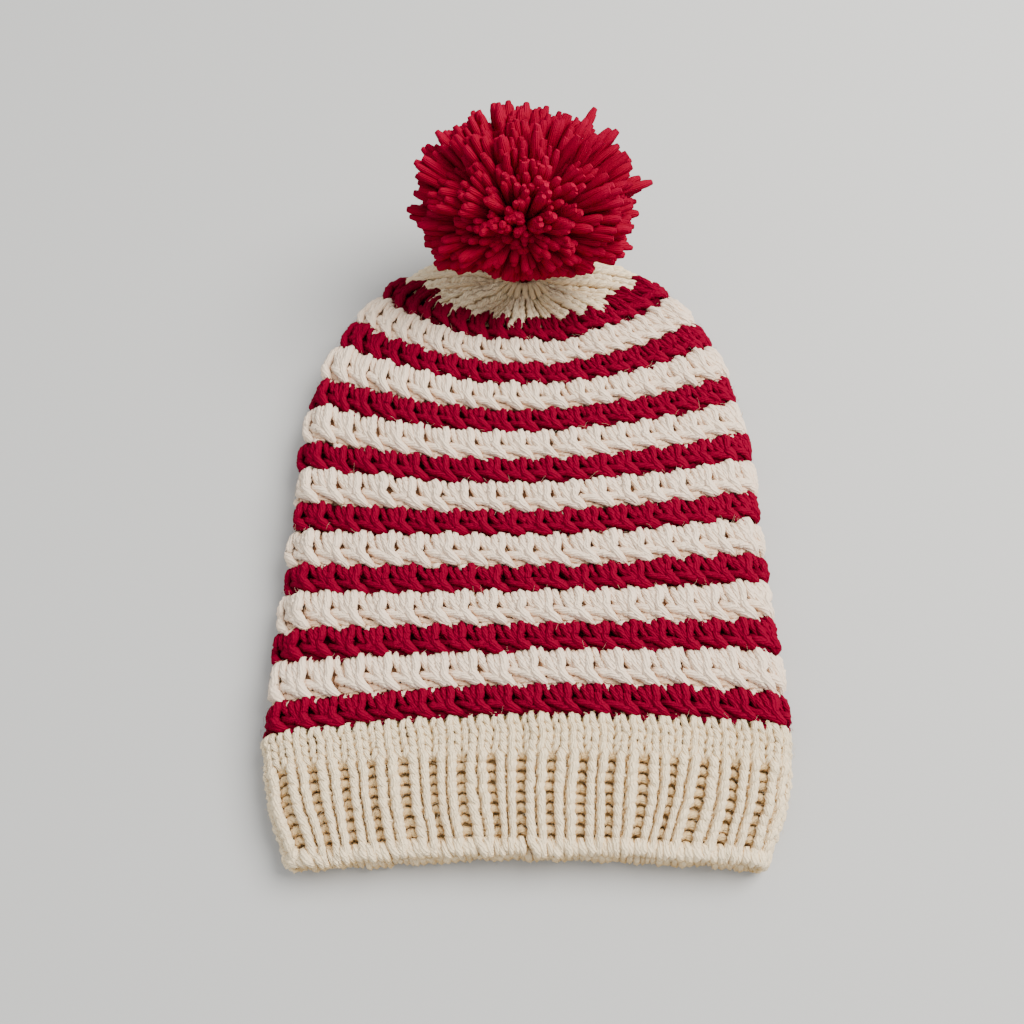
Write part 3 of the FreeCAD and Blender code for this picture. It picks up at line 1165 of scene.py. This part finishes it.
def fibreStrand(seed):
    dice = np.random.default_rng(seed)
    length = dice.uniform(1.8, 4.4)
    bend = dice.normal(0, 1.1, 2)
    points = []
    for t, swell in ((0, 1), (0.35, 1), (0.7, 0.9), (1.0, 0.5)):
        sideways = bend[1] * t * t * 0.8 + length * 0.75 * t
        points.append((bend[0] * t * t, sideways, length * 0.45 * math.sin(2.2 * t), swell))
    return [(fuzz["thick"], points)]


def makeFuzz():
    dice = np.random.default_rng(fuzz["seed"])
    fibres = [makeYarn(fibreStrand(seed), steps=1, sides=0) for seed in range(12)]
    pieces = {"cream": Knitting(), "red": Knitting()}
    crownPlace = crownStart / mm
    for _ in range(fuzz["onHat"]):
        along = dice.uniform(0.5, crownPlace - 0.5)
        turn = dice.uniform(-0.5, 0.5)
        name = [band for band in bandNames[:-1] if bandStart[band] / mm <= along][-1]
        fibre = fibres[dice.integers(len(fibres))]
        spin = dice.uniform(0, 2 * math.pi)
        local = fibre["points"]
        x = local[:, 0] * math.cos(spin) - local[:, 1] * math.sin(spin)
        y = local[:, 0] * math.sin(spin) + local[:, 1] * math.cos(spin)
        around = np.interp(along, hat.alongs, hat.lengths)
        placed = hat.place(turn + x / around, along + y, local[:, 2] + dice.uniform(0.8, 2.6))
        colour = "red" if name.startswith("red") else "cream"
        # loose fibres sit high, so they take the light end of the painted depth shade
        pieces[colour].add(placed, fibre, np.full(len(local), 0.85), 0.0)
    centre = np.array(ballCentre) / mm - (0, mouthY / mm, 0)
    radii = np.array((pompomShape["halfWidth"], pompomShape["halfDepth"], pompomShape["halfDepth"]))
    ball = Knitting()
    for direction in spreadDirections(fuzz["onPompom"], dice, 0.1):
        if -direction @ np.array(tieAxis) > 0.3:
            continue
        fibre = fibres[dice.integers(len(fibres))]
        out = Vector(direction).to_track_quat("Z", "Y").to_matrix() @ Matrix.Rotation(dice.uniform(0, 6.28), 3, "Z")
        placed = centre + direction * radii * dice.uniform(0.9, 1.0) + fibre["points"] @ np.array(out).T
        # loose fibres sit high, so they take the light end of the painted depth shade
        ball.add(placed, fibre, np.full(len(placed), 0.9), 0.0)
    piece = ball.make("pompom_loose_fibres", pompomWool)
    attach(piece, "pompom")
    for colour, material in (("cream", creamWool), ("red", redWool)):
        piece = pieces[colour].make(f"{colour}_loose_fibres", material)
        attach(piece, "hat")


makeFuzz()

# light and floor
studio = {
    "floor": 6.0,
    "keySize": 1.2,
    "keyPower": 56,
    "keyPlace": (0.9, 0.35, 1.3),
    "room": 1.1,
}


def makeStudio():
    bpy.ops.mesh.primitive_plane_add(size=studio["floor"], location=(0, 0, -0.0002))
    floor = bpy.context.object
    floor.name = "pale_floor"
    paper = bpy.data.materials.new("paleMattPaper")
    paper.use_nodes = True
    shader = paper.node_tree.nodes["Principled BSDF"]
    shader.inputs["Base Color"].default_value = srgb("#BAB9B6")
    shader.inputs["Roughness"].default_value = 0.95
    floor.data.materials.append(paper)
    bpy.ops.object.light_add(type="AREA", location=studio["keyPlace"])
    key = bpy.context.object
    key.data.shape = "DISK"
    key.data.size = studio["keySize"]
    key.data.energy = studio["keyPower"]
    key.data.color = (1.0, 0.98, 0.95)
    key.rotation_euler = (Vector((0, 0, 0)) - key.location).to_track_quat("-Z", "Y").to_euler()
    world = bpy.data.worlds.new("softRoom")
    bpy.context.scene.world = world
    world.use_nodes = True
    world.node_tree.nodes["Background"].inputs["Color"].default_value = srgb("#EEF1F4")
    world.node_tree.nodes["Background"].inputs["Strength"].default_value = studio["room"]


makeStudio()
